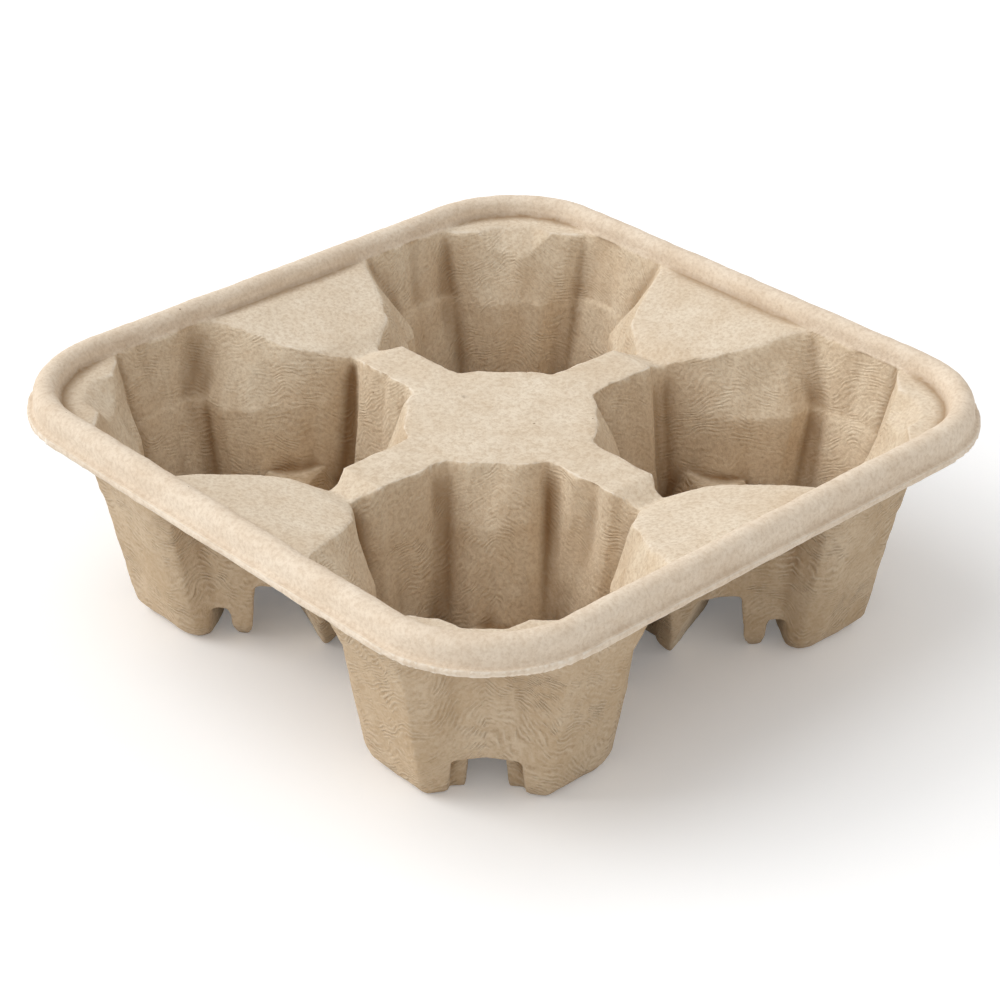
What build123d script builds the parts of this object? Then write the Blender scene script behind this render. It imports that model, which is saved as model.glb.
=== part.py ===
from build123d import *
import os
from math import hypot, sqrt

# Sheet of moulded pulp
wall = 2.2
height = 69.0

# Cup pockets, measured inside at the rim ledge (top) and at the table (foot)
pocket_across_top = 90.0
pocket_rim_foot = 32.0
pocket_inner_foot = 38.0
arm_width = 14.6
rim_facet_corner_top = 12.5
rim_facet_corner_foot = 9.5
rim_facet_saddle_top = 20.5
rim_facet_saddle_flare = 9.8
rim_facet_saddle_foot = 9.2
inner_facet_centre_top = 20.0
inner_facet_centre_foot = 13.0
flare_height = 42.0
shelf_width = 0.6
shelf_height = 0.8

# Groove down the wall at each neck of the deck, past the tip of the arm
neck_groove_depth = 3.0
neck_groove_arm = 4.5
neck_groove_rim = 8.5

# Ribs on the slanted facets: places along the facet, and depths inward from its chord
rib_valley = 4.0
rib_shoulder = 9.5
rib_neck_shoulder = 14.0
rib_valley_depth = 0.8
rib_shoulder_share = 0.7
corner_rib_top = 0.5
corner_rib_flare = 5.2
corner_rib_foot = 4.3
saddle_rib_top = 0.3
saddle_rib_neck_top = 3.2
saddle_rib_flare = 4.8
saddle_rib_foot = 3.2
centre_bow_top = 3.3
centre_rib_flare = 3.5
centre_rib_foot = 4.5
centre_valley_top = 2.6

# Scallop in the ledge at each outer corner
scallop_ledge = 7.0
scallop_depth = 4.5
scallop_mouth = 22.0
scallop_back = 11.0
scallop_drop = 7.0

# Feet, raised cup seat and the channels between the feet
foot_chamfer = 2.5
foot_chamfer_height = 4.0
seat_height = 19.0
seat_radius = 17.5
channel_reach = 56.0
channel_draft = 1.0
side_channel_inner_draft = 8.0
corner_channel_width = 11.5
corner_channel_end_height = 4.5
corner_mouth_from = 25.5
corner_mouth_width = 20.5
corner_mouth_height = 12.0
side_channel_angle = 69.0
side_channel_width = 19.0
centre_channel_width = 11.0
centre_channel_end_height = 3.0
toe_notch_angle = 34.0
toe_notch_width = 7.0
toe_notch_height = 10.0

# Deck between the pockets: levels below the crest, places past a pocket's axis
ledge_drop = 5.6
plateau_drop = 10.8
dip_drop = 14.0
arm_tip_past_axis = 0.5
dip_past_axis = 7.6
neck_past_axis = 14.7
saddle_ledge = 5.0

# Rolled rim
rim_step = 0.4
rim_wall_lean = 0.6
bead_half_width = 3.6
bead_rise = 3.4
skirt_lean = 0.2
lip_reach = 1.8
lip_thickness = 1.8
lip_drop = 9.0
corner_radius = 38.0

# Places worked out from the sizes above
half_top = pocket_across_top / 2
cup_axis = arm_width / 2 + half_top
ledge_z = height - ledge_drop
plateau_z = height - plateau_drop
dip_z = height - dip_drop
rim_inside = cup_axis + half_top + rim_step
bead_inside = rim_inside + rim_wall_lean
bead_centre = bead_inside + bead_half_width
skirt_top = bead_centre + bead_half_width
skirt_foot = skirt_top + skirt_lean
lip_edge = skirt_foot + lip_reach
lip_z = height - lip_drop
bead_z = height - bead_rise
corner_centre = lip_edge - corner_radius
rim_corner_reach = (corner_centre - cup_axis) * sqrt(2) + rim_inside - corner_centre
saddle_half = cup_axis - rim_facet_saddle_top + wall
quarter_turns = (0, 90, 180, 270)


def length(start, end):
    return hypot(end[0] - start[0], end[1] - start[1])


# A point part of the way along a chord, moved inward, where inward is to the right of its run
def beside(start, end, along, inward):
    run = length(start, end)
    ux = (end[0] - start[0]) / run
    uy = (end[1] - start[1]) / run
    return (start[0] + ux * along + uy * inward, start[1] + uy * along - ux * inward)


def mix(foot, top, share):
    return foot + (top - foot) * share


# A size that runs evenly from the table to the ledge
def even(foot, top, z):
    return mix(foot, top, z / ledge_z)


# A size that turns at the flare
def bent(foot, flare, top, z):
    if z < flare_height:
        return mix(foot, flare, z / flare_height)
    return mix(flare, top, (z - flare_height) / (ledge_z - flare_height))


# From a pocket's axis to its walls at the rim, which step out by a small shelf at the flare
def rim_half(z):
    if z > flare_height:
        return even(pocket_rim_foot, half_top, z)
    return mix(pocket_rim_foot, even(pocket_rim_foot, half_top, flare_height) - shelf_width, z / flare_height)


# Half of a pocket's outline at a height, clockwise from its outer diagonal to its inner diagonal
def half_outline(z):
    rim_wall = rim_half(z)
    inner_wall = even(pocket_inner_foot, half_top, z)
    corner = even(rim_facet_corner_foot, rim_facet_corner_top, z)
    saddle = bent(rim_facet_saddle_foot, rim_facet_saddle_flare, rim_facet_saddle_top, z)
    centre = even(inner_facet_centre_foot, inner_facet_centre_top, z)
    corner_rib = bent(corner_rib_foot, corner_rib_flare, corner_rib_top, z)
    saddle_rib = bent(saddle_rib_foot, saddle_rib_flare, saddle_rib_top, z)
    neck_rib = bent(saddle_rib_foot, saddle_rib_flare, saddle_rib_neck_top, z)
    centre_rib = bent(centre_rib_foot, centre_rib_flare, -centre_bow_top, z)
    centre_valley = even(rib_valley_depth, centre_valley_top, z)
    groove_wall = inner_wall + neck_groove_depth
    rim_far = (corner, rim_wall)
    rim_corner = (rim_wall, corner)
    rim_saddle = (rim_wall, -saddle)
    groove_rim = (neck_groove_rim, -groove_wall)
    groove_arm = (neck_groove_arm, -groove_wall)
    arm_tip = (arm_tip_past_axis, -inner_wall)
    centre_side = (-centre, -inner_wall)
    centre_far = (-inner_wall, -centre)
    corner_run = length(rim_far, rim_corner)
    saddle_run = length(rim_saddle, groove_rim)
    centre_run = length(centre_side, centre_far)
    return [
        beside(rim_far, rim_corner, corner_run / 2, corner_rib),
        beside(rim_far, rim_corner, corner_run - rib_shoulder, corner_rib * rib_shoulder_share),
        beside(rim_far, rim_corner, corner_run - rib_valley, rib_valley_depth),
        rim_corner,
        rim_saddle,
        beside(rim_saddle, groove_rim, rib_valley, -rib_valley_depth),
        beside(rim_saddle, groove_rim, rib_shoulder, saddle_rib),
        beside(rim_saddle, groove_rim, saddle_run - rib_neck_shoulder, neck_rib),
        groove_rim,
        groove_arm,
        arm_tip,
        centre_side,
        beside(centre_side, centre_far, rib_valley, -centre_valley),
        beside(centre_side, centre_far, rib_shoulder, centre_rib * rib_shoulder_share),
        beside(centre_side, centre_far, centre_run / 2, centre_rib),
    ]


# Inside of the pocket at a height, mirrored in its diagonal
def outline_at(z):
    half = half_outline(z)
    return half + [(y, x) for x, y in reversed(half[1:-1])]


# The outline with each edge moved outward by a distance and mitred at its corners
def grown(points, distance):
    moved = []
    for i, point in enumerate(points):
        before = points[i - 1]
        after = points[(i + 1) % len(points)]
        run_in = length(before, point)
        run_out = length(point, after)
        nx, ny = (before[1] - point[1]) / run_in, (point[0] - before[0]) / run_in
        mx, my = (point[1] - after[1]) / run_out, (after[0] - point[0]) / run_out
        share = distance / (1 + nx * mx + ny * my)
        moved.append((point[0] + (nx + mx) * share, point[1] + (ny + my) * share))
    return moved


def section(points, z):
    return Face(Wire(Polyline(*[(x, y, z) for x, y in points], close=True)))


# Octagonal cup well with drafted sides and chamfered feet, down to the underside of its sheet
def well(growth, top_z):
    floor_z = wall - growth
    knee_z = floor_z + foot_chamfer_height
    shelf_z = flare_height + shelf_height
    sections = [
        section(grown(outline_at(floor_z), growth - foot_chamfer), floor_z),
        section(grown(outline_at(knee_z), growth), knee_z),
        section(grown(outline_at(flare_height), growth), flare_height),
        section(grown(outline_at(shelf_z), growth), shelf_z),
        section(grown(outline_at(top_z), growth), top_z),
    ]
    return loft(sections, ruled=True)


# Wedge that opens the top of the outer corner's rib into the ledge, in an even sheet along its slope
def scallop(growth, top_z):
    low_z = ledge_z - scallop_drop
    rib_low = length((0, 0), half_outline(low_z)[0])
    rise = (rim_corner_reach - scallop_ledge - rib_low) / scallop_drop
    along = growth * hypot(1, rise)
    start_z = low_z - (along - growth) / rise
    front = scallop_mouth / 2 + growth
    back = scallop_back / 2 + growth

    def slice_at(z):
        reach = rib_low + rise * (z - low_z) + along
        shoulder = reach - scallop_depth
        corners = [(rib_low / 2, -front), (shoulder, -front), (reach, -back)]
        corners += [(x, -y) for x, y in reversed(corners)]
        return section(corners, z)

    return Rot(0, 0, 45) * loft([slice_at(start_z), slice_at(top_z)], ruled=True)


# Raised channel under a pocket between two places, each a reach from the axis, a width and a height
def channel(angle, near, far, drafts, growth):
    faces = []
    for reach, across, tall in (near, far):
        foot = across / 2 + growth
        rise = tall + growth
        corners = [(-foot, -wall), (foot, -wall), (foot - drafts[1], rise), (drafts[0] - foot, rise)]
        faces.append(Face(Wire(Polyline(*[(reach, y, z) for y, z in corners], close=True))))
    return Rot(0, 0, angle) * loft(faces, ruled=True)


# Raised cup seat with the channels that part the feet
def seat(growth):
    steep = (channel_draft, channel_draft)
    ring = Plane.XY.offset(-wall) * Circle(seat_radius + growth)
    shape = extrude(ring, seat_height + growth + wall)
    corner_near = (0, corner_channel_width, seat_height)
    corner_far = (channel_reach, corner_channel_width, corner_channel_end_height)
    shape += channel(45, corner_near, corner_far, steep, growth)
    mouth_near = (corner_mouth_from - growth, corner_mouth_width, corner_mouth_height)
    mouth_far = (channel_reach, corner_mouth_width, corner_mouth_height)
    shape += channel(45, mouth_near, mouth_far, steep, growth)
    centre_near = (0, centre_channel_width, seat_height)
    centre_far = (channel_reach, centre_channel_width, centre_channel_end_height)
    shape += channel(225, centre_near, centre_far, steep, growth)
    side_near = (0, side_channel_width, seat_height)
    side_far = (channel_reach, side_channel_width, seat_height)
    inner_right = (side_channel_inner_draft, channel_draft)
    inner_left = (channel_draft, side_channel_inner_draft)
    shape += channel(-side_channel_angle, side_near, side_far, inner_right, growth)
    shape += channel(90 + side_channel_angle, side_near, side_far, inner_left, growth)
    notch_near = (0, toe_notch_width, toe_notch_height)
    notch_far = (channel_reach, toe_notch_width, toe_notch_height)
    for angle in (-toe_notch_angle, 90 + toe_notch_angle):
        shape += channel(angle, notch_near, notch_far, steep, growth)
    return shape


# A pocket as a filled solid: its inside with no growth, its outside when grown by the wall
def pocket(growth, top_z):
    shape = well(growth, top_z) + scallop(growth, top_z) - seat(wall - growth)
    return Pos(cup_axis, cup_axis, 0) * shape


# Space over the saddles, dips and plateau along one axis of the tray, lowered by a drop
def valley(drop):
    over_z = height
    edge = rim_inside - saddle_ledge
    half = [
        (edge, ledge_z),
        (cup_axis + neck_past_axis, plateau_z),
        (cup_axis + dip_past_axis, dip_z),
        (cup_axis + arm_tip_past_axis, plateau_z),
    ]
    profile = half + [(-x, z) for x, z in reversed(half)]
    profile += [(-edge, over_z), (edge, over_z)]
    face = Face(Wire(Polyline(*[(x, 0, z - drop) for x, z in profile], close=True)))
    return extrude(face, saddle_half, dir=(0, 1, 0), both=True)


# Everything below the deck's surface, lowered by a drop
def under_deck(drop, base_z):
    edge = rim_inside + wall / 2
    plate = RectangleRounded(2 * edge, 2 * edge, edge - corner_centre)
    fill = extrude(Plane.XY.offset(base_z) * plate, ledge_z - drop - base_z)
    return fill - valley(drop) - Rot(0, 0, 90) * valley(drop)


# Rolled rim: inner wall, bead, skirt and lip as one bent sheet, along each side and round each corner
def rim():
    bead_top = EllipticalCenterArc((bead_centre, bead_z), bead_half_width, bead_rise, arc_size=180)
    under = Polyline(
        (skirt_top, bead_z),
        (skirt_foot, lip_z + lip_thickness),
        (lip_edge, lip_z + lip_thickness),
        (lip_edge, lip_z),
        (skirt_foot - wall, lip_z),
        (skirt_top - wall, bead_z),
        (bead_centre, height - wall),
        (bead_inside + wall, bead_z),
        (rim_inside + wall, ledge_z - wall),
        (rim_inside, ledge_z - wall),
        (rim_inside, ledge_z),
        (bead_inside, bead_z),
    )
    profile = Plane.XZ * make_face(Curve() + [bead_top, under])
    side = extrude(profile, corner_centre, dir=(0, 1, 0), both=True)
    turn_axis = Axis((corner_centre, corner_centre, 0), (0, 0, 1))
    corner = revolve(Pos(0, corner_centre, 0) * profile, turn_axis, 90)
    ring = Part()
    for turn in quarter_turns:
        ring += Rot(0, 0, turn) * side
        ring += Rot(0, 0, turn) * corner
    return ring


deck = under_deck(0, dip_z - 2 * wall) - under_deck(wall, dip_z - 3 * wall)
pocket_outside = pocket(wall, ledge_z - wall / 2)
pocket_outside -= valley(wall / 2)
pocket_outside -= Rot(0, 0, 90) * valley(wall / 2)
pocket_inside = pocket(0, ledge_z + rim_step)

tray = rim() + deck
for turn in quarter_turns:
    tray += Rot(0, 0, turn) * pocket_outside
for turn in quarter_turns:
    tray -= Rot(0, 0, turn) * pocket_inside

os.makedirs("parts", exist_ok=True)
export_step(tray, "parts/carrier_tray.step")
print("tray side", 2 * lip_edge, "height", height, "volume", tray.volume)
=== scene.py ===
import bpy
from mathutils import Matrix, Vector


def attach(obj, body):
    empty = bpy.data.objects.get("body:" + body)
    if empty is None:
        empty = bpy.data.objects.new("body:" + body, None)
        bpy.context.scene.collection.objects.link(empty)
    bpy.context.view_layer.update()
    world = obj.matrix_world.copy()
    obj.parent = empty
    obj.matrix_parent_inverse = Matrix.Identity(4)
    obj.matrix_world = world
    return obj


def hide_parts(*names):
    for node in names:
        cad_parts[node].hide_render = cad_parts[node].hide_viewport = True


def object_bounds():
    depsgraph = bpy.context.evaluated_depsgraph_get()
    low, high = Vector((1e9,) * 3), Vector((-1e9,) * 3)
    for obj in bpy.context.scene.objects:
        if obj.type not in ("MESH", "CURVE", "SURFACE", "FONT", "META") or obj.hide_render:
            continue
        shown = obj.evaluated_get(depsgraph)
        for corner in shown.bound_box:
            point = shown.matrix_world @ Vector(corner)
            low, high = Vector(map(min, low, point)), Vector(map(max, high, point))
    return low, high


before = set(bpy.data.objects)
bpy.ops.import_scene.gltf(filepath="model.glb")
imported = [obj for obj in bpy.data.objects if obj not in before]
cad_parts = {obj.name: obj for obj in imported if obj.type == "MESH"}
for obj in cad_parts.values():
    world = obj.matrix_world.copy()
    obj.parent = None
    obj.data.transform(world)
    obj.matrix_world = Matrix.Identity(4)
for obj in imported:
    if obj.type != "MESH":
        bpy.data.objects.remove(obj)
cadBox = [list(corner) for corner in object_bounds()]

import math
import bpy
import bmesh
import numpy as np
from mathutils import Matrix, Vector, noise

mm = 0.001
rimHeight = cadBox[1][2]
traySide = cadBox[1][0] - cadBox[0][0]
scene = bpy.context.scene


# sRGB hex to the linear values that sockets take
def linearColour(hexCode):
    channels = [int(hexCode[i:i + 2], 16) / 255 for i in (1, 3, 5)]
    return [c / 12.92 if c <= 0.04045 else ((c + 0.055) / 1.055) ** 2.4 for c in channels] + [1.0]


# adds a node, sets its properties and inputs; a socket given as an input value is linked
def addNode(tree, kind, inputs=None, **settings):
    node = tree.nodes.new(kind)
    for name, value in settings.items():
        setattr(node, name, value)
    for key, value in (inputs or {}).items():
        if isinstance(value, bpy.types.NodeSocket):
            tree.links.new(value, node.inputs[key])
        else:
            node.inputs[key].default_value = value
    return node


def newMaterial(name):
    material = bpy.data.materials.new(name)
    material.use_nodes = True
    material.node_tree.nodes.clear()
    return material, material.node_tree


# Moulded pulp: paper fibre felted on a wire mould and dried, so it is matt all over. It is pale on the
# rim, and flowing strands of fibre stand proud on the steep walls. Painted top light makes the high deck
# paler than the browner walls, painted fill light pales the insides of the wells, painted shade darkens
# the hollows and the troughs between strands, and painted highlights pale the convex edges. Sizes are in mm
pulp = {
    "wallPale": "#D5C1A6",
    "wallBody": "#C0A889",
    # the insides of the wells are painted paler, as painted fill light
    "wellPale": "#EADBC3",
    "wellBody": "#DAC5A9",
    # the deck is painted paler than the walls, as painted top light
    "deckPale": "#E9DBC6",
    "deckBody": "#DAC7AE",
    "rimPale": "#EFE0CC",
    "rimBody": "#E0CDB6",
    # colour of the painted shade in the hollows and between strands
    "hollowShade": "#85643F",
    "grain": "#A98A66",
    "strand": "#E3D3BB",
    # colour of the painted highlight on convex edges
    "edge": "#F5EADA",
    "speck": "#775839",
    "roughness": 0.93,
    "ior": 1.45,
    "specular": 0.2,
    "blotchSize": 17.0,
    "blotchRange": (0.3, 0.7),
    "toplightLevelRange": (0.55, 0.9),        # upward share of the normal, from wall to deck, that gets the painted top light
    "deckHeights": (40.0, 50.0),
    "strandSpacing": 1.7,             # real fibres are finer; these are the bundles that show
    "strandFall": 0.8,
    "strandSwing": 7.5,
    "strandSwirl": 6.0,
    "swayReach": 16.0,
    "swaySize": 26.0,
    "strandLength": 3.2,
    "lengthRange": (0.4, 0.58),
    "lengthLeast": 0.05,
    "strandPatch": 15.0,
    "patchRange": (0.35, 0.6),
    "patchLeast": 0.35,
    "strandInside": 0.5,              # the mould side is smoother than the felt side
    "strandPressed": 0.12,
    "strandRelief": 0.28,
    "crestRange": (0.04, 0.45),
    "crestMost": 0.36,
    # painted shade in the troughs between strands
    "troughShadeRange": (-0.04, -0.5),
    "troughShadeMost": 0.26,
    "grainSize": 0.6,                 # real grain is finer; drawn this coarse to show
    "grainRange": (0.32, 0.6),
    "grainMost": 0.36,
    "grainRelief": 0.2,
    "rimGrain": 0.75,                 # the rim is pressed smoother still
    # painted shade in the hollows
    "hollowShadeRange": (-0.25, -1.7),
    "hollowShadeMost": 0.9,
    # painted highlight on convex edges
    "edgeRange": (0.08, 0.22),
    "edgeMost": 0.9,
    "edgeLow": 0.15,                  # the painted edge highlight fades on edges down by the feet
    "speckSpacing": 11.0,
    "speckSize": 0.45,
    "speckPick": 0.4,
    "speckMost": 0.7,
}


def pulpMaterial():
    material, tree = newMaterial("mouldedPulpFibre")
    place = addNode(tree, "ShaderNodeTexCoord").outputs["Object"]
    facing = addNode(tree, "ShaderNodeNewGeometry").outputs["Normal"]
    faceUp = addNode(tree, "ShaderNodeSeparateXYZ", {"Vector": facing}).outputs["Z"]
    kept = {}
    for name in ("rimTone", "wellTone", "edgeTone", "hollowShadeTone"):
        kept[name] = addNode(tree, "ShaderNodeAttribute", attribute_name=name).outputs["Fac"]
    folded = addNode(tree, "ShaderNodeVectorMath", {0: place}, operation="ABSOLUTE").outputs[0]
    spot = addNode(tree, "ShaderNodeSeparateXYZ", {"Vector": folded}).outputs
    # painted top light: high surfaces that face up are painted paler
    level = addNode(tree, "ShaderNodeMapRange", {
        "Value": faceUp, "From Min": pulp["toplightLevelRange"][0], "From Max": pulp["toplightLevelRange"][1]},
        interpolation_type="SMOOTHSTEP").outputs[0]
    high = addNode(tree, "ShaderNodeMapRange", {
        "Value": spot["Z"], "From Min": pulp["deckHeights"][0] * mm,
        "From Max": pulp["deckHeights"][1] * mm}).outputs[0]
    deck = addNode(tree, "ShaderNodeMath", {0: level, 1: high}, operation="MULTIPLY").outputs[0]
    pressed = addNode(tree, "ShaderNodeMath", {0: deck, 1: kept["rimTone"]}, operation="MAXIMUM").outputs[0]

    # strands fall away on both sides of each well's diagonal and sway as they go round the walls
    beside = addNode(tree, "ShaderNodeMath", {0: spot["X"], 1: spot["Y"]}, operation="SUBTRACT").outputs[0]
    aside = addNode(tree, "ShaderNodeMath", {0: beside}, operation="ABSOLUTE").outputs[0]
    fallen = addNode(tree, "ShaderNodeMath", {
        0: aside, 1: pulp["strandFall"] / math.sqrt(2), 2: spot["Z"]}, operation="MULTIPLY_ADD").outputs[0]
    sway = addNode(tree, "ShaderNodeTexNoise", {
        "Vector": place, "Scale": 1 / (pulp["swaySize"] * mm), "Detail": 2.0}).outputs["Fac"]
    swayed = addNode(tree, "ShaderNodeMath", {
        0: sway, 1: 2 * pulp["swayReach"] * mm, 2: fallen}, operation="MULTIPLY_ADD").outputs[0]
    course = addNode(tree, "ShaderNodeCombineXYZ", {"X": spot["X"], "Y": spot["Y"], "Z": swayed}).outputs[0]
    wave = addNode(tree, "ShaderNodeTexWave", {
        "Vector": course, "Scale": math.pi / (10 * pulp["strandSpacing"] * mm),
        "Distortion": pulp["strandSwing"], "Detail": 4.0, "Detail Roughness": 0.65,
        "Detail Scale": 10 * pulp["strandSpacing"] / (math.pi * pulp["strandSwirl"])},
        bands_direction="Z").outputs["Fac"]

    # they are broken into lengths and hardly show where the pulp is pressed flat
    lengths = addNode(tree, "ShaderNodeTexNoise", {
        "Vector": place, "Scale": 1 / (pulp["strandLength"] * mm), "Detail": 3.0,
        "Roughness": 0.6}).outputs["Fac"]
    lengths = addNode(tree, "ShaderNodeMapRange", {
        "Value": lengths, "From Min": pulp["lengthRange"][0], "From Max": pulp["lengthRange"][1],
        "To Min": pulp["lengthLeast"]}).outputs[0]
    patch = addNode(tree, "ShaderNodeTexNoise", {
        "Vector": place, "Scale": 1 / (pulp["strandPatch"] * mm), "Detail": 1.0}).outputs["Fac"]
    patch = addNode(tree, "ShaderNodeMapRange", {
        "Value": patch, "From Min": pulp["patchRange"][0], "From Max": pulp["patchRange"][1],
        "To Min": pulp["patchLeast"]}).outputs[0]
    shown = addNode(tree, "ShaderNodeMath", {0: lengths, 1: patch}, operation="MULTIPLY").outputs[0]
    depth = addNode(tree, "ShaderNodeMapRange", {
        "Value": kept["wellTone"], "To Min": 1.0, "To Max": pulp["strandInside"]}).outputs[0]
    depth = addNode(tree, "ShaderNodeMapRange", {
        "Value": pressed, "To Min": depth, "To Max": pulp["strandPressed"]}).outputs[0]
    shown = addNode(tree, "ShaderNodeMath", {0: shown, 1: depth}, operation="MULTIPLY").outputs[0]
    strands = addNode(tree, "ShaderNodeMapRange", {"Value": wave, "To Min": -0.5, "To Max": 0.5}).outputs[0]
    strands = addNode(tree, "ShaderNodeMath", {0: strands, 1: shown}, operation="MULTIPLY").outputs[0]
    grain = addNode(tree, "ShaderNodeTexNoise", {
        "Vector": place, "Scale": 1 / (pulp["grainSize"] * 2 * mm), "Detail": 2.0,
        "Roughness": 0.7}).outputs["Fac"]

    # each part of the tray goes from body to pale with the felt's thick and thin places
    blotch = addNode(tree, "ShaderNodeTexNoise", {
        "Vector": place, "Scale": 1 / (pulp["blotchSize"] * mm), "Detail": 4.0,
        "Roughness": 0.6}).outputs["Fac"]
    felt = addNode(tree, "ShaderNodeMapRange", {
        "Value": blotch, "From Min": pulp["blotchRange"][0], "From Max": pulp["blotchRange"][1]}).outputs[0]
    felted = {}
    # the deck and well colours are painted top light and painted fill light over the wall colour
    for part in ("wall", "well", "deck", "rim"):
        felted[part] = addNode(tree, "ShaderNodeMix", {
            "Factor": felt, "A": linearColour(pulp[part + "Body"]), "B": linearColour(pulp[part + "Pale"])},
            data_type="RGBA").outputs["Result"]

    # how much of the painted hollow and trough shade, grain, strand, painted edge highlight and speck
    # colours lies over that
    # painted shade in the hollows
    hollowShades = addNode(tree, "ShaderNodeMapRange", {
        "Value": kept["hollowShadeTone"], "From Min": pulp["hollowShadeRange"][0], "From Max": pulp["hollowShadeRange"][1],
        "To Max": pulp["hollowShadeMost"]}).outputs[0]
    grained = addNode(tree, "ShaderNodeMapRange", {
        "Value": grain, "From Min": pulp["grainRange"][0], "From Max": pulp["grainRange"][1],
        "To Min": pulp["grainMost"], "To Max": 0.0}).outputs[0]
    calm = addNode(tree, "ShaderNodeMapRange", {
        "Value": kept["rimTone"], "To Min": 1.0, "To Max": pulp["rimGrain"]}).outputs[0]
    grained = addNode(tree, "ShaderNodeMath", {0: grained, 1: calm}, operation="MULTIPLY").outputs[0]
    crests = addNode(tree, "ShaderNodeMapRange", {
        "Value": strands, "From Min": pulp["crestRange"][0], "From Max": pulp["crestRange"][1],
        "To Max": pulp["crestMost"]}).outputs[0]
    # painted shade in the troughs between strands, in the hollow shade colour
    troughShade = addNode(tree, "ShaderNodeMapRange", {
        "Value": strands, "From Min": pulp["troughShadeRange"][0], "From Max": pulp["troughShadeRange"][1],
        "To Max": pulp["troughShadeMost"]}).outputs[0]
    # painted highlight along convex edges, with less of it low down
    paintedEdgeHighlight = addNode(tree, "ShaderNodeMapRange", {
        "Value": kept["edgeTone"], "From Min": pulp["edgeRange"][0], "From Max": pulp["edgeRange"][1],
        "To Max": pulp["edgeMost"]}).outputs[0]
    edgeHighlightByHeight = addNode(tree, "ShaderNodeMapRange", {"Value": high, "To Min": pulp["edgeLow"]}).outputs[0]
    paintedEdgeHighlight = addNode(tree, "ShaderNodeMath", {0: edgeHighlightByHeight, 1: paintedEdgeHighlight}, operation="MULTIPLY").outputs[0]
    bits = addNode(tree, "ShaderNodeTexVoronoi", {
        "Vector": place, "Scale": 1 / (pulp["speckSpacing"] * mm), "Randomness": 1.0}).outputs
    pick = addNode(tree, "ShaderNodeSeparateColor", {"Color": bits["Color"]}).outputs["Red"]
    reach = addNode(tree, "ShaderNodeMapRange", {
        "Value": pick, "From Min": pulp["speckPick"],
        "To Max": pulp["speckSize"] / pulp["speckSpacing"]}).outputs[0]
    specks = addNode(tree, "ShaderNodeMath", {0: bits["Distance"], 1: reach},
                     operation="LESS_THAN").outputs[0]
    specks = addNode(tree, "ShaderNodeMapRange", {"Value": specks, "To Max": pulp["speckMost"]}).outputs[0]

    layers = [
        (kept["wellTone"], felted["well"]),
        (deck, felted["deck"]),
        (kept["rimTone"], felted["rim"]),
        (hollowShades, linearColour(pulp["hollowShade"])),
        (grained, linearColour(pulp["grain"])),
        (crests, linearColour(pulp["strand"])),
        (troughShade, linearColour(pulp["hollowShade"])),
        (paintedEdgeHighlight, linearColour(pulp["edge"])),
        (specks, linearColour(pulp["speck"])),
    ]
    tone = felted["wall"]
    for share, over in layers:
        tone = addNode(tree, "ShaderNodeMix", {"Factor": share, "A": tone, "B": over},
                       data_type="RGBA").outputs["Result"]

    strandBump = addNode(tree, "ShaderNodeBump", {
        "Height": strands, "Strength": 1.0, "Distance": pulp["strandRelief"] * mm}).outputs[0]
    grainBump = addNode(tree, "ShaderNodeBump", {
        "Height": grain, "Strength": 1.0, "Distance": pulp["grainRelief"] * mm,
        "Normal": strandBump}).outputs[0]
    shader = addNode(tree, "ShaderNodeBsdfPrincipled", {
        "Base Color": tone, "Roughness": pulp["roughness"], "IOR": pulp["ior"],
        "Specular IOR Level": pulp["specular"], "Normal": grainBump}).outputs[0]
    addNode(tree, "ShaderNodeOutputMaterial", {"Surface": shader})
    return material


# the tray's sheet, rounded at its folds and given the flutes, lumps and dents of dried pulp; sizes in mm
tray = {
    "weld": 0.001,
    "voxel": 0.6,
    "foldPasses": 9,
    "rimShare": 0.1,         # the rim is pressed crisper than the wells
    # the painted hollow shade is weaker on the rim
    "rimHollowShade": 0.7,
    "footTop": 9.0,
    "footPasses": 11,        # the feet are the roundest places, where the felt lies thickest
    "rimWidth": 10.0,
    "rimDepth": 9.6,
    "rimCorner": 38.0,
    "cupAxis": 52.3,
    "fluteSize": 7.0,
    "fluteStretch": 7.0,
    "fluteDepth": 2.1,
    "fluteOutside": 0.4,     # the outside takes less of the flutes, as the sheet evens them out
    # evening passes that find where the painted hollow shade goes
    "hollowShadePasses": 480,
    "lumpSize": 13.0,
    "lumpHeight": 0.5,
    "rippleSize": 4.2,
    "rippleHeight": 0.3,
    "triangles": 190000,
}


# replaces an object's mesh by what its modifiers make of it
def applyModifiers(piece):
    graph = bpy.context.evaluated_depsgraph_get()
    made = bpy.data.meshes.new_from_object(piece.evaluated_get(graph))
    piece.modifiers.clear()
    piece.data = made


# "co" or "normal" of each point, one row a point
def pointRows(mesh, what):
    flat = np.empty(len(mesh.vertices) * 3, np.float32)
    mesh.vertices.foreach_get(what, flat)
    return flat.reshape(-1, 3)


def addRelief(piece, name, size, height):
    texture = bpy.data.textures.new(name, "CLOUDS")
    texture.noise_scale = size * mm
    texture.noise_depth = 2
    relief = piece.modifiers.new(name, "DISPLACE")
    relief.texture = texture
    relief.texture_coords = "LOCAL"
    relief.strength = height * mm
    relief.mid_level = 0.5


# evens out a mesh by a number of passes, more slowly in a vertex group's light places
def evenOut(piece, passes, group=""):
    even = piece.modifiers.new("even", "SMOOTH")
    even.factor = 0.5
    even.iterations = passes
    even.vertex_group = group
    applyModifiers(piece)


# stores a number for each point of a mesh, for the material to read
def keepValues(mesh, name, values):
    mesh.attributes.new(name, "FLOAT", "POINT").data.foreach_set("value", values.astype(np.float32))
    print(name, "from", values.min(), "to", values.max())


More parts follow.
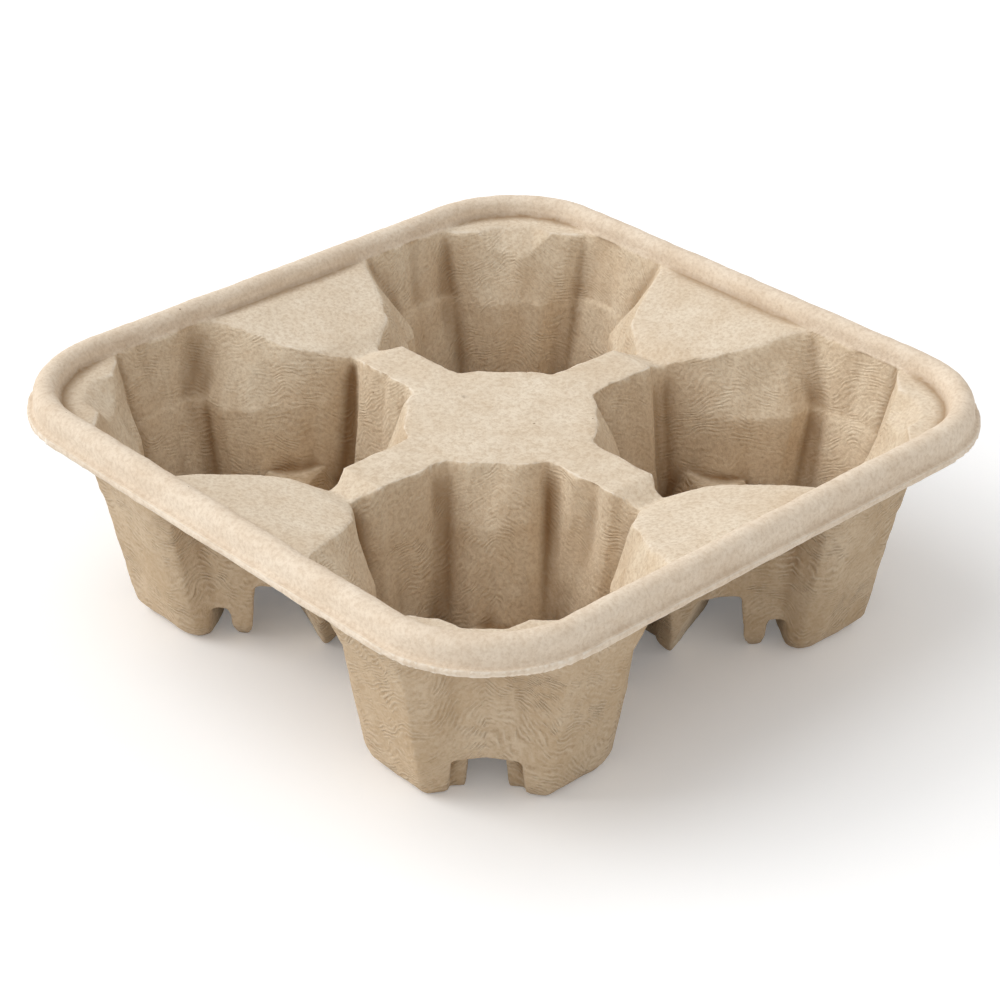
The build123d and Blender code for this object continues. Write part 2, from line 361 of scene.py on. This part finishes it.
# points of the rolled rim, by their distance in from the rounded square of the lip
def rimPoints(points):
    corner = traySide / 2 - tray["rimCorner"] * mm
    past = np.maximum(np.abs(points[:, :2]) - corner, 0)
    inFromLip = tray["rimCorner"] * mm - np.hypot(past[:, 0], past[:, 1])
    return (inFromLip < tray["rimWidth"] * mm) & (points[:, 2] > rimHeight - tray["rimDepth"] * mm)


# level direction away from the nearest cup's axis
def fromCup(points):
    out = points[:, :2] - np.sign(points[:, :2]) * tray["cupAxis"] * mm
    return out / np.linalg.norm(out, axis=1, keepdims=True)


# irregular upright flutes on the steep walls, where the wet felt slumped as it dried
def flutes(points, along):
    spots = points / (tray["fluteSize"] * mm)
    spots[:, 2] /= tray["fluteStretch"]
    swing = np.array([noise.noise(spot) for spot in spots.tolist()], np.float32)
    return swing * (1 - np.abs(along[:, 2])) * tray["fluteDepth"] * mm


def makeTray():
    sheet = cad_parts["carrier_tray"].data.copy()
    shell = bmesh.new()
    shell.from_mesh(sheet)
    bmesh.ops.remove_doubles(shell, verts=shell.verts, dist=tray["weld"] * mm)
    shell.to_mesh(sheet)
    shell.free()
    piece = bpy.data.objects.new("pulpTray", sheet)
    scene.collection.objects.link(piece)
    grid = piece.modifiers.new("grid", "REMESH")
    grid.mode = "VOXEL"
    grid.voxel_size = tray["voxel"] * mm
    applyModifiers(piece)
    print("sheet remeshed to", len(piece.data.polygons), "quads")

    # evening out the whole sheet once shows the convex edges, which get a painted highlight
    sharp = pointRows(piece.data, "co")
    onRim = rimPoints(sharp)
    crisp = piece.data.copy()
    evenOut(piece, tray["foldPasses"])
    paintedEdgeHighlight = ((sharp - pointRows(piece.data, "co")) * pointRows(piece.data, "normal")).sum(1) / mm
    piece.data = crisp
    folds = piece.vertex_groups.new(name="folds")
    folds.add(np.flatnonzero(~onRim).tolist(), 1.0, "REPLACE")
    folds.add(np.flatnonzero(onRim).tolist(), tray["rimShare"], "REPLACE")
    evenOut(piece, tray["foldPasses"], "folds")
    feet = np.flatnonzero(sharp[:, 2] < tray["footTop"] * mm)
    piece.vertex_groups.new(name="feet").add(feet.tolist(), 1.0, "REPLACE")
    evenOut(piece, tray["footPasses"], "feet")

    rounded = pointRows(piece.data, "co")
    along = pointRows(piece.data, "normal")
    out = fromCup(rounded)
    inside = (out * along[:, :2]).sum(1) < 0
    fluted = rounded.copy()
    taken = np.where(inside, 1.0, tray["fluteOutside"]) * ~onRim
    fluted[:, :2] += out * (flutes(rounded, along) * taken)[:, None]
    piece.data.vertices.foreach_set("co", fluted.ravel())
    piece.data.update()

    # a much evened copy lies above the hollows and below the ridges, and painted shade goes into the
    # hollows
    kept = piece.data.copy()
    evenOut(piece, tray["hollowShadePasses"])
    above = ((fluted - pointRows(piece.data, "co")) * along).sum(1) / mm
    piece.data = kept
    # kept for the material: the painted edge highlight, the painted hollow shade, the rim, and the inside
    # of the wells, with its smoother strands and painted fill light
    keepValues(kept, "edgeTone", paintedEdgeHighlight)
    keepValues(kept, "hollowShadeTone", above * np.where(onRim, tray["rimHollowShade"], 1.0))
    keepValues(kept, "rimTone", onRim)
    keepValues(kept, "wellTone", inside)

    piece.vertex_groups.clear()
    addRelief(piece, "lumps", tray["lumpSize"], tray["lumpHeight"])
    addRelief(piece, "ripples", tray["rippleSize"], tray["rippleHeight"])
    applyModifiers(piece)
    thin = piece.modifiers.new("thin", "DECIMATE")
    thin.ratio = tray["triangles"] / (2 * len(piece.data.polygons))
    applyModifiers(piece)
    piece.data.polygons.foreach_set("use_smooth", [True] * len(piece.data.polygons))
    piece.data.materials.clear()
    piece.data.materials.append(pulpMaterial())
    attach(piece, "root")
    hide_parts("carrier_tray")
    print("tray made of", len(piece.data.polygons), "triangles")


# camera read from the rim's outline: direction, distance and sideways place in rim lengths
view = {
    "around": 47.2526,
    "above": 30.45,
    "distance": 3.4966,
    "sideways": -0.0023,
    "upward": -0.1559,
    "focalPixels": 2639.03,
    "framePixels": 1000,
    "sensor": 36.0,
    "clipStart": 0.01,
}


# level directions to the right of the view and towards the viewer
def levelAxes():
    around = math.radians(view["around"])
    right = Vector((math.cos(around), math.sin(around), 0))
    nearer = Vector((math.sin(around), -math.cos(around), 0))
    return right, nearer


def makeCamera():
    right, nearer = levelAxes()
    above = math.radians(view["above"])
    back = nearer * math.cos(above) + Vector((0, 0, math.sin(above)))
    up = back.cross(right)
    data = bpy.data.cameras.new("camera")
    data.sensor_width = view["sensor"]
    data.lens = view["focalPixels"] / view["framePixels"] * view["sensor"]
    data.clip_start = view["clipStart"]
    camera = bpy.data.objects.new("camera", data)
    scene.collection.objects.link(camera)
    away = back * view["distance"] + right * view["sideways"] + up * view["upward"]
    turn = Matrix((right, up, back)).transposed().to_4x4()
    camera.matrix_world = Matrix.Translation(Vector((0, 0, rimHeight)) + away * traySide) @ turn
    scene.camera = camera
    print("camera placed")


# white table, a broad key high on the left, a side light and sky light all round
studio = {
    "floorSize": 6.0,        # metres
    "floor": "#FAFAFA",
    "floorLift": 0.13,       # only as the camera sees the table, so it puts no light on the tray
    "key": {"strength": 0.8, "spread": 50.0, "above": 64.0, "toFront": -5.0},
    "side": {"strength": 1.1, "spread": 36.0, "above": 29.0, "toFront": -5.0},
    "sky": 0.64,
    "skyColour": "#FFFFFF",
}


# 1 for rays that see the background straight, in a mirror or through glass, 0 for rays that light the tray
def seenRays(tree):
    path = addNode(tree, "ShaderNodeLightPath").outputs
    mirrored = addNode(tree, "ShaderNodeMath", {0: path["Is Camera Ray"], 1: path["Is Glossy Ray"]},
                       operation="MAXIMUM").outputs[0]
    return addNode(tree, "ShaderNodeMath", {0: mirrored, 1: path["Is Transmission Ray"]},
                   operation="MAXIMUM").outputs[0]


def makeFloor():
    half = studio["floorSize"] / 2
    corners = [(-half, -half, 0), (half, -half, 0), (half, half, 0), (-half, half, 0)]
    mesh = bpy.data.meshes.new("floor")
    mesh.from_pydata(corners, [], [(0, 1, 2, 3)])
    floor = bpy.data.objects.new("floor", mesh)
    scene.collection.objects.link(floor)
    material, tree = newMaterial("paintedTable")
    lift = addNode(tree, "ShaderNodeMapRange", {
        "Value": seenRays(tree), "To Max": studio["floorLift"]}).outputs[0]
    shader = addNode(tree, "ShaderNodeBsdfPrincipled", {
        "Base Color": linearColour(studio["floor"]), "Roughness": 1.0, "Specular IOR Level": 0.0,
        "Emission Color": linearColour(studio["floor"]), "Emission Strength": lift}).outputs[0]
    addNode(tree, "ShaderNodeOutputMaterial", {"Surface": shader})
    mesh.materials.append(material)
    print("floor laid")


def makeLight():
    right, nearer = levelAxes()
    for name in ("key", "side"):
        above = math.radians(studio[name]["above"])
        toFront = math.radians(studio[name]["toFront"])
        data = bpy.data.lights.new(name, "SUN")
        data.energy = studio[name]["strength"]
        data.angle = math.radians(studio[name]["spread"])
        lamp = bpy.data.objects.new(name, data)
        scene.collection.objects.link(lamp)
        aside = nearer * math.sin(toFront) - right * math.cos(toFront)
        towards = aside * math.cos(above) + Vector((0, 0, math.sin(above)))
        lamp.rotation_euler = towards.to_track_quat("Z", "Y").to_euler()
    world = bpy.data.worlds.new("studio")
    world.use_nodes = True
    tree = world.node_tree
    tree.nodes.clear()
    strength = addNode(tree, "ShaderNodeMapRange", {
        "Value": seenRays(tree), "To Min": studio["sky"]}).outputs[0]
    glow = addNode(tree, "ShaderNodeBackground", {
        "Color": linearColour(studio["skyColour"]), "Strength": strength}).outputs[0]
    addNode(tree, "ShaderNodeOutputWorld", {"Surface": glow})
    scene.world = world
    print("lamps and sky set")


makeTray()
makeCamera()
makeFloor()
makeLight()
scene.view_settings.view_transform = "Standard"
print("scene ready")
